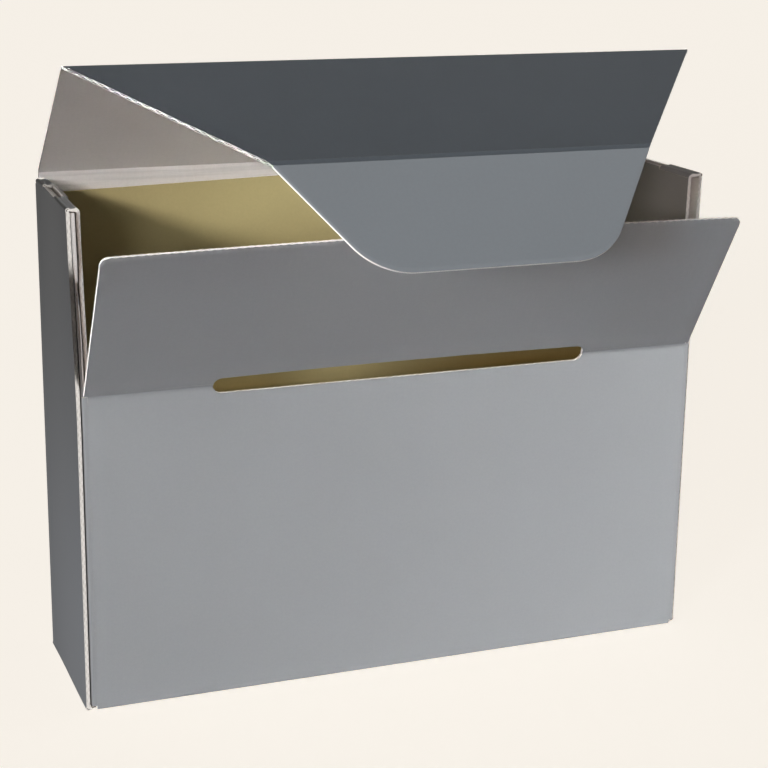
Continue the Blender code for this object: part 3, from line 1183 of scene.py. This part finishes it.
class BOX_OT_add_creases(bpy.types.Operator):
    """Add the creases at the lid's folds, the drop front and the inner sides"""

    bl_idname = "archival_box.add_creases"
    bl_label = "Add Creases"

    def execute(self, context):
        board = context.scene.box_board
        shape = context.scene.box_panels
        half = board.thickness / 2
        reach = board.crease_reach
        whole = lambda x: (0.0, 1.0)
        upright = lambda x, point: (x, point.x, point.y)
        one = Vector((-cos(LID_RISE), sin(LID_RISE)))
        two_angle = LID_RISE - LID_FRONT_FOLD
        two = Vector((-cos(two_angle), sin(two_angle)))
        three_angle = two_angle - TUCK_FOLD
        three = Vector((-cos(three_angle), sin(three_angle)))
        wide = LID_HALF_WIDTH

        add_crease(
            "lid_hinge_crease",
            fold_points(LID_HINGE - Vector((0, 1)), LID_HINGE, LID_HINGE + one, reach, 8),
            flute_columns(-wide, wide), whole, upright, (0, 1, 0),
        )

        slope = lid_slope()

        def edge_ends(x):
            spare = (wide - abs(x)) / slope
            return 0.0, min(1.0, max((spare + reach) / (2 * reach), 0.05))

        add_crease(
            "lid_edge_crease",
            fold_points(LID_EDGE - one, LID_EDGE, LID_EDGE + two, reach, 8),
            flute_columns(-wide, wide), edge_ends, upright, (0, 0, 1),
        )

        narrow = shape.lid_narrow

        def tuck_ends(x):
            spare = narrow - abs(x)
            spare = spare / shape.tuck_slope if spare > 0 else spare / slope
            return 0.0, min(1.0, max((spare + reach) / (2 * reach), 0.05))

        far = narrow + slope * reach
        add_crease(
            "tuck_crease",
            fold_points(TUCK_CREASE - two, TUCK_CREASE, TUCK_CREASE + three, reach, 8),
            flute_columns(-far, far), tuck_ends, upright, (0, -1, 2),
        )

        lean = Vector((-sin(DROP_LEAN), cos(DROP_LEAN)))
        inward = Vector((cos(DROP_LEAN), sin(DROP_LEAN)))
        shift = half * tan(DROP_LEAN / 2)
        corner = FRONT_CREASE + Vector((half, shift))
        wall_end = TAB_FACE - fold_reach()
        for side, ends in (
            ("left", (-wall_end, -shape.slot_half)), ("right", (shape.slot_half, wall_end))
        ):
            add_crease(
                "front_crease_" + side,
                fold_points(corner - Vector((0, 1)), corner, corner + lean, reach + shift, 8),
                flute_columns(*ends), whole, upright, (0, -1, 0),
            )

        for side, sign in (("left", -1), ("right", 1)):
            fold = fold_points(
                INNER_FOLD + Vector((1, 0)), INNER_FOLD, INNER_FOLD - Vector((0, 1)), reach, 8
            )
            turned = Profile(fold)
            for part, ends in (
                ("front", (INNER_FRONT, WINDOW_FRONT)), ("rear", (WINDOW_BACK, INNER_BACK))
            ):
                def place(u, v, sign=sign):
                    point = turned.at(u)
                    x = sign * point.x + flare("outer", sign, point.x, v, point.y)
                    return (x, v, point.y)

                def crush(u, v):
                    return board.crease_crush * sin(pi * u / turned.marks[-1]) ** 2

                strip = surface(
                    f"{side}_inner_crease_{part}",
                    (turned.marks, lambda u, ends=ends: spread(*ends, 8), place, crush),
                )
                face_outwards(strip, (0, 0, 1))
                make_board(strip, crushed=True)
                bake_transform(strip)
        return {"FINISHED"}


# Loose sheet


class BOX_OT_add_sheet(bpy.types.Operator):
    """Add the olive sheet that stands against the back wall"""

    bl_idname = "archival_box.add_sheet"
    bl_label = "Add Backing Sheet"

    def execute(self, context):
        papers()
        low, high = SHEET_BOX
        size = high - low
        double = cos(2 * SHEET_TILT)
        width = (size.x * cos(SHEET_TILT) - size.z * sin(SHEET_TILT)) / double
        height = (size.z * cos(SHEET_TILT) - size.x * sin(SHEET_TILT)) / double
        mesh = bpy.data.meshes.new("olive_sheet")
        bm = bmesh.new()
        bmesh.ops.create_grid(bm, x_segments=24, y_segments=18, size=0.5)
        for vert in bm.verts:
            vert.co = ((vert.co.x + 0.5) * width, 0.0, (vert.co.y + 0.5) * height)
        turn = Matrix.Rotation(-SHEET_TILT, 4, "Y")
        bmesh.ops.transform(bm, matrix=turn, verts=bm.verts)
        corner = Vector((low.x + height * sin(SHEET_TILT), low.y, low.z))
        bmesh.ops.translate(bm, vec=corner, verts=bm.verts)
        faces = bmesh.ops.extrude_face_region(bm, geom=bm.faces[:])
        lifted = [part for part in faces["geom"] if isinstance(part, bmesh.types.BMVert)]
        bmesh.ops.translate(bm, vec=(0, size.y, 0), verts=lifted)
        bmesh.ops.recalc_face_normals(bm, faces=bm.faces[:])
        bm.to_mesh(mesh)
        bm.free()
        item = bpy.data.objects.new("olive_sheet", mesh)
        context.scene.collection.objects.link(item)
        mesh.materials.append(bpy.data.materials["Olive sheet"])
        settle(item, "tray", ["backing_sheet"])
        return {"FINISHED"}


# Stage

CAMERA_PLACE = Vector((-297.18, -766.87, 357.78)) * mm
CAMERA_YAW = radians(21.530)
CAMERA_PITCH = radians(-15.850)
CAMERA_ROLL = radians(0.791)
CAMERA_LENS = 86.691


def aim_camera():
    """The camera's place and turn, with yaw from straight back towards the right."""
    yaw, pitch, roll = CAMERA_YAW, CAMERA_PITCH, CAMERA_ROLL
    forward = Vector((sin(yaw) * cos(pitch), cos(yaw) * cos(pitch), sin(pitch)))
    right = Vector((cos(yaw), -sin(yaw), 0))
    up = right.cross(forward)
    tilted_right = right * cos(roll) + up * sin(roll)
    tilted_up = up * cos(roll) - right * sin(roll)
    turn = Matrix((tilted_right, tilted_up, -forward)).transposed().to_4x4()
    return Matrix.Translation(CAMERA_PLACE) @ turn


def shine_on(item, receivers):
    """Let a lamp light only these pieces."""
    if receivers:
        group = bpy.data.collections.new(item.name + "_receivers")
        for piece in receivers:
            group.objects.link(piece)
        item.light_linking.receiver_collection = group


def add_sun(name, strength, azimuth, elevation, tint, receivers=()):
    """A soft sun lamp; its azimuth is counted from the front, positive to the left."""
    stage = bpy.context.scene.box_stage
    lamp = bpy.data.lights.new(name, "SUN")
    lamp.energy = strength
    lamp.angle = stage.softness
    lamp.color = tint
    item = bpy.data.objects.new(name, lamp)
    bpy.context.scene.collection.objects.link(item)
    azimuth, elevation = radians(azimuth), radians(elevation)
    source = Vector((
        -sin(azimuth) * cos(elevation), -cos(azimuth) * cos(elevation), sin(elevation)
    ))
    item.rotation_euler = source.to_track_quat("Z", "Y").to_euler()
    shine_on(item, receivers)
    return item


def add_card(name, power, place, target, size, tint, receivers=(), kind="AREA"):
    """A soft card, or a spot lamp, that shines from place towards target."""
    lamp = bpy.data.lights.new(name, kind)
    lamp.energy = power
    lamp.color = tint
    if kind == "AREA":
        lamp.size = size
    else:
        lamp.shadow_soft_size = size
    item = bpy.data.objects.new(name, lamp)
    bpy.context.scene.collection.objects.link(item)
    item.location = place
    item.rotation_euler = (Vector(target) - Vector(place)).to_track_quat("-Z", "Y").to_euler()
    item.visible_camera = False
    shine_on(item, receivers)
    return item


def pieces(*starts):
    """The finished pieces whose names begin with one of these."""
    return [
        item for item in bpy.data.objects
        if item.type == "MESH" and item.name.startswith(starts)
    ]


class BOX_OT_add_stage(bpy.types.Operator):
    """Add the floor, the lights and the camera"""

    bl_idname = "archival_box.add_stage"
    bl_label = "Add Stage"

    def execute(self, context):
        stage = context.scene.box_stage
        mesh = bpy.data.meshes.new("floor")
        bm = bmesh.new()
        bmesh.ops.create_grid(bm, x_segments=1, y_segments=1, size=stage.floor_size)
        bm.to_mesh(mesh)
        bm.free()
        floor = bpy.data.objects.new("floor", mesh)
        context.scene.collection.objects.link(floor)
        mesh.materials.append(self.floor_paper(stage))
        self.add_world(context, stage)
        self.add_lamps(stage.key)
        camera_data = bpy.data.cameras.new("camera")
        camera_data.lens = CAMERA_LENS
        camera_data.sensor_width = 36.0
        camera_data.clip_start = 0.01
        camera_data.clip_end = 60.0
        camera = bpy.data.objects.new("camera", camera_data)
        context.scene.collection.objects.link(camera)
        camera.matrix_world = aim_camera()
        context.scene.camera = camera
        context.scene.view_settings.view_transform = "Standard"
        return {"FINISHED"}

    def add_lamps(self, level):
        """Low soft suns for the whole box, and lamps of their own for faces in other light."""
        lid = pieces("lid_front", "lid_edge", "tuck_crease")
        side = pieces("left_outer", "left_spine", "left_inner_crease")
        olive = pieces("olive_sheet")
        front = pieces("front_wall")
        drop = pieces("drop_front")
        tuck = pieces("tuck_board")
        back = pieces("back_wall", "lid_top", "lid_hinge_crease", "back_left_tab",
                      "back_right_tab", "left_outer", "right_outer")
        folds = pieces("front_left_tab", "front_right_tab")
        others = [item for item in pieces("") if item not in lid + side + olive]
        for name, strength, azimuth, elevation, tint, receivers in (
            ("key", 1.08, 48, 10, (0.89, 1.0, 1.12), others),
            ("key_warm", 0.94, 30, 10, (1.13, 0.97, 0.90), others),
            ("fill", 0.755, -60, 3, (0.94, 1.03, 1.04), others),
            ("lid_light", 1.05, -20, 6, (0.88, 1.0, 1.12), lid),
            ("lid_edge_light", 5.5, 104, 4, (1.0, 0.97, 0.94), lid + tuck),
            ("drop_edge_light", 3.8, 70, 30, (1.0, 0.99, 0.97), drop),
            ("side_edge_light", 2.8, -25, 16, (1.0, 0.98, 0.95), side),
            ("sheet_key", 2.49, 60, 18, (1.04, 1.0, 0.95), olive),
            ("sheet_fill", 0.915, -45, 6, (0.94, 1.02, 0.97), olive),
            ("sheet_front", 0.343, 30, 10, (0.98, 0.96, 0.99), olive),
            ("tuck_light", 0.14, 30, 10, (0.0, 1.0, 1.4), tuck),
            ("back_light", 1.6, -150, 30, (1.0, 1.0, 1.0), back),
            ("top_fold_back_light", 2.4, -150, 4, (1.0, 1.0, 1.0), pieces("lid_edge_crease")),
        ):
            add_sun(name, strength * level, azimuth, elevation, tint, receivers)
        lip = add_sun("slot_lip_light", 3.0 * level, 90, 45, (1.0, 0.95, 0.86), front)
        free = bpy.data.collections.new("slot_lip_light_blockers")
        free.objects.link(bpy.data.objects["floor"])
        lip.light_linking.blocker_collection = free
        for name, power, place, target, size, tint, receivers in (
            ("front_right_card", 2.35, (0.5, -0.35, 0.02), (0.14, 0, 0.04), 0.15,
             (1.0, 1.01, 0.99), front + folds),
            ("front_left_card", 1.5, (-0.5, -0.2, 0.6), (0, 0.03, 0.18), 0.2,
             (1.0, 1.02, 0.97), front + folds),
            ("front_low_card", 0.06, (0.05, -0.25, 0.02), (0.05, 0, 0.02), 0.15,
             (1.0, 1.0, 1.0), front + folds),
            ("side_card", 0.14, (-0.338, -0.06, 0.02), (-0.145, 0, 0.02), 0.05,
             (0.94, 0.98, 1.07), side),
        ):
            add_card(name, power * level, place, target, size, tint, receivers)
        bpy.data.lights["sheet_key"].angle = bpy.context.scene.box_stage.sheet_softness
        for name, power, target, tint, cone in (
            ("slot_left_spot", 2.5, (-0.072, -0.038, 0.1415), (1.18, 1.0, 0.735), 7.3),
            ("slot_right_spot", 1.0, (0.075, -0.038, 0.1415), (1.15, 0.65, 0.1), 18.0),
        ):
            spot = add_card(
                name, power * level, (-0.178, -0.475, 0.271), target, 0.02, tint, olive, "SPOT"
            )
            spot.data.spot_size = radians(cone)
            spot.data.spot_blend = 1.0

    def floor_paper(self, stage):
        """Pale ground that shows its own colour to the camera and keeps soft shadows."""
        material = bpy.data.materials.new("Pale ground")
        material.use_nodes = True
        tree = material.node_tree
        shader = tree.nodes["Principled BSDF"]
        tint = [part * stage.floor_tint for part in stage.backdrop]
        shader.inputs["Base Color"].default_value = (*tint, 1.0)
        shader.inputs["Roughness"].default_value = 0.9
        shader.inputs["Specular IOR Level"].default_value = 0.0
        path = add_node(tree, "ShaderNodeLightPath")
        seen = maths(tree, "MAXIMUM", path.outputs["Is Camera Ray"], path.outputs["Is Glossy Ray"])
        seen = maths(tree, "MAXIMUM", seen, path.outputs["Is Transmission Ray"])
        glow = maths(tree, "MULTIPLY", seen, 1.0 - stage.floor_light)
        shader.inputs["Emission Color"].default_value = (*stage.backdrop, 1.0)
        tree.links.new(glow, shader.inputs["Emission Strength"])
        return material

    def add_world(self, context, stage):
        """Soft light from all round, and the pale ground's colour behind the object."""
        world = bpy.data.worlds.new("Soft room")
        world.use_nodes = True
        context.scene.world = world
        tree = world.node_tree
        backdrop = tree.nodes["Background"]
        backdrop.inputs["Color"].default_value = (*stage.backdrop, 1.0)
        backdrop.inputs["Strength"].default_value = 1.0
        room = add_node(
            tree, "ShaderNodeBackground", {"Color": (1.0, 0.99, 0.98, 1.0), "Strength": stage.room}
        )
        path = add_node(tree, "ShaderNodeLightPath")
        seen = maths(tree, "MAXIMUM", path.outputs["Is Camera Ray"], path.outputs["Is Glossy Ray"])
        seen = maths(tree, "MAXIMUM", seen, path.outputs["Is Transmission Ray"])
        mix = add_node(tree, "ShaderNodeMixShader", {0: seen})
        tree.links.new(room.outputs[0], mix.inputs[1])
        tree.links.new(backdrop.outputs[0], mix.inputs[2])
        tree.links.new(mix.outputs[0], tree.nodes["World Output"].inputs["Surface"])


# Panel and registration


class BOX_PT_tools(bpy.types.Panel):
    """The box's operators and sizes in the sidebar"""

    bl_label = "Archival Box"
    bl_idname = "BOX_PT_tools"
    bl_space_type = "VIEW_3D"
    bl_region_type = "UI"
    bl_category = "Box"

    def draw(self, context):
        column = self.layout.column()
        for step in STEPS:
            column.operator(step.bl_idname)
        for name in SETTINGS:
            group = getattr(context.scene, name)
            for key in group.__annotations__:
                column.prop(group, key)


SETTINGS = {
    "box_board": BoardSettings,
    "box_panels": PanelSettings,
    "box_papers": PaperSettings,
    "box_stage": StageSettings,
}
STEPS = (
    BOX_OT_add_base,
    BOX_OT_add_side_walls,
    BOX_OT_add_drop_front,
    BOX_OT_add_lid,
    BOX_OT_add_creases,
    BOX_OT_add_sheet,
    BOX_OT_add_stage,
)


def register():
    for part in (*SETTINGS.values(), *STEPS, BOX_PT_tools):
        bpy.utils.register_class(part)
    for name, group in SETTINGS.items():
        setattr(bpy.types.Scene, name, bpy.props.PointerProperty(type=group))


def unregister():
    for name in SETTINGS:
        delattr(bpy.types.Scene, name)
    for part in reversed((*SETTINGS.values(), *STEPS, BOX_PT_tools)):
        bpy.utils.unregister_class(part)


def main():
    """Build every piece and the stage."""
    register()
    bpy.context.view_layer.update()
    for step in STEPS:
        group, name = step.bl_idname.split(".")
        getattr(getattr(bpy.ops, group), name)()


if __name__ == "__main__":
    main()
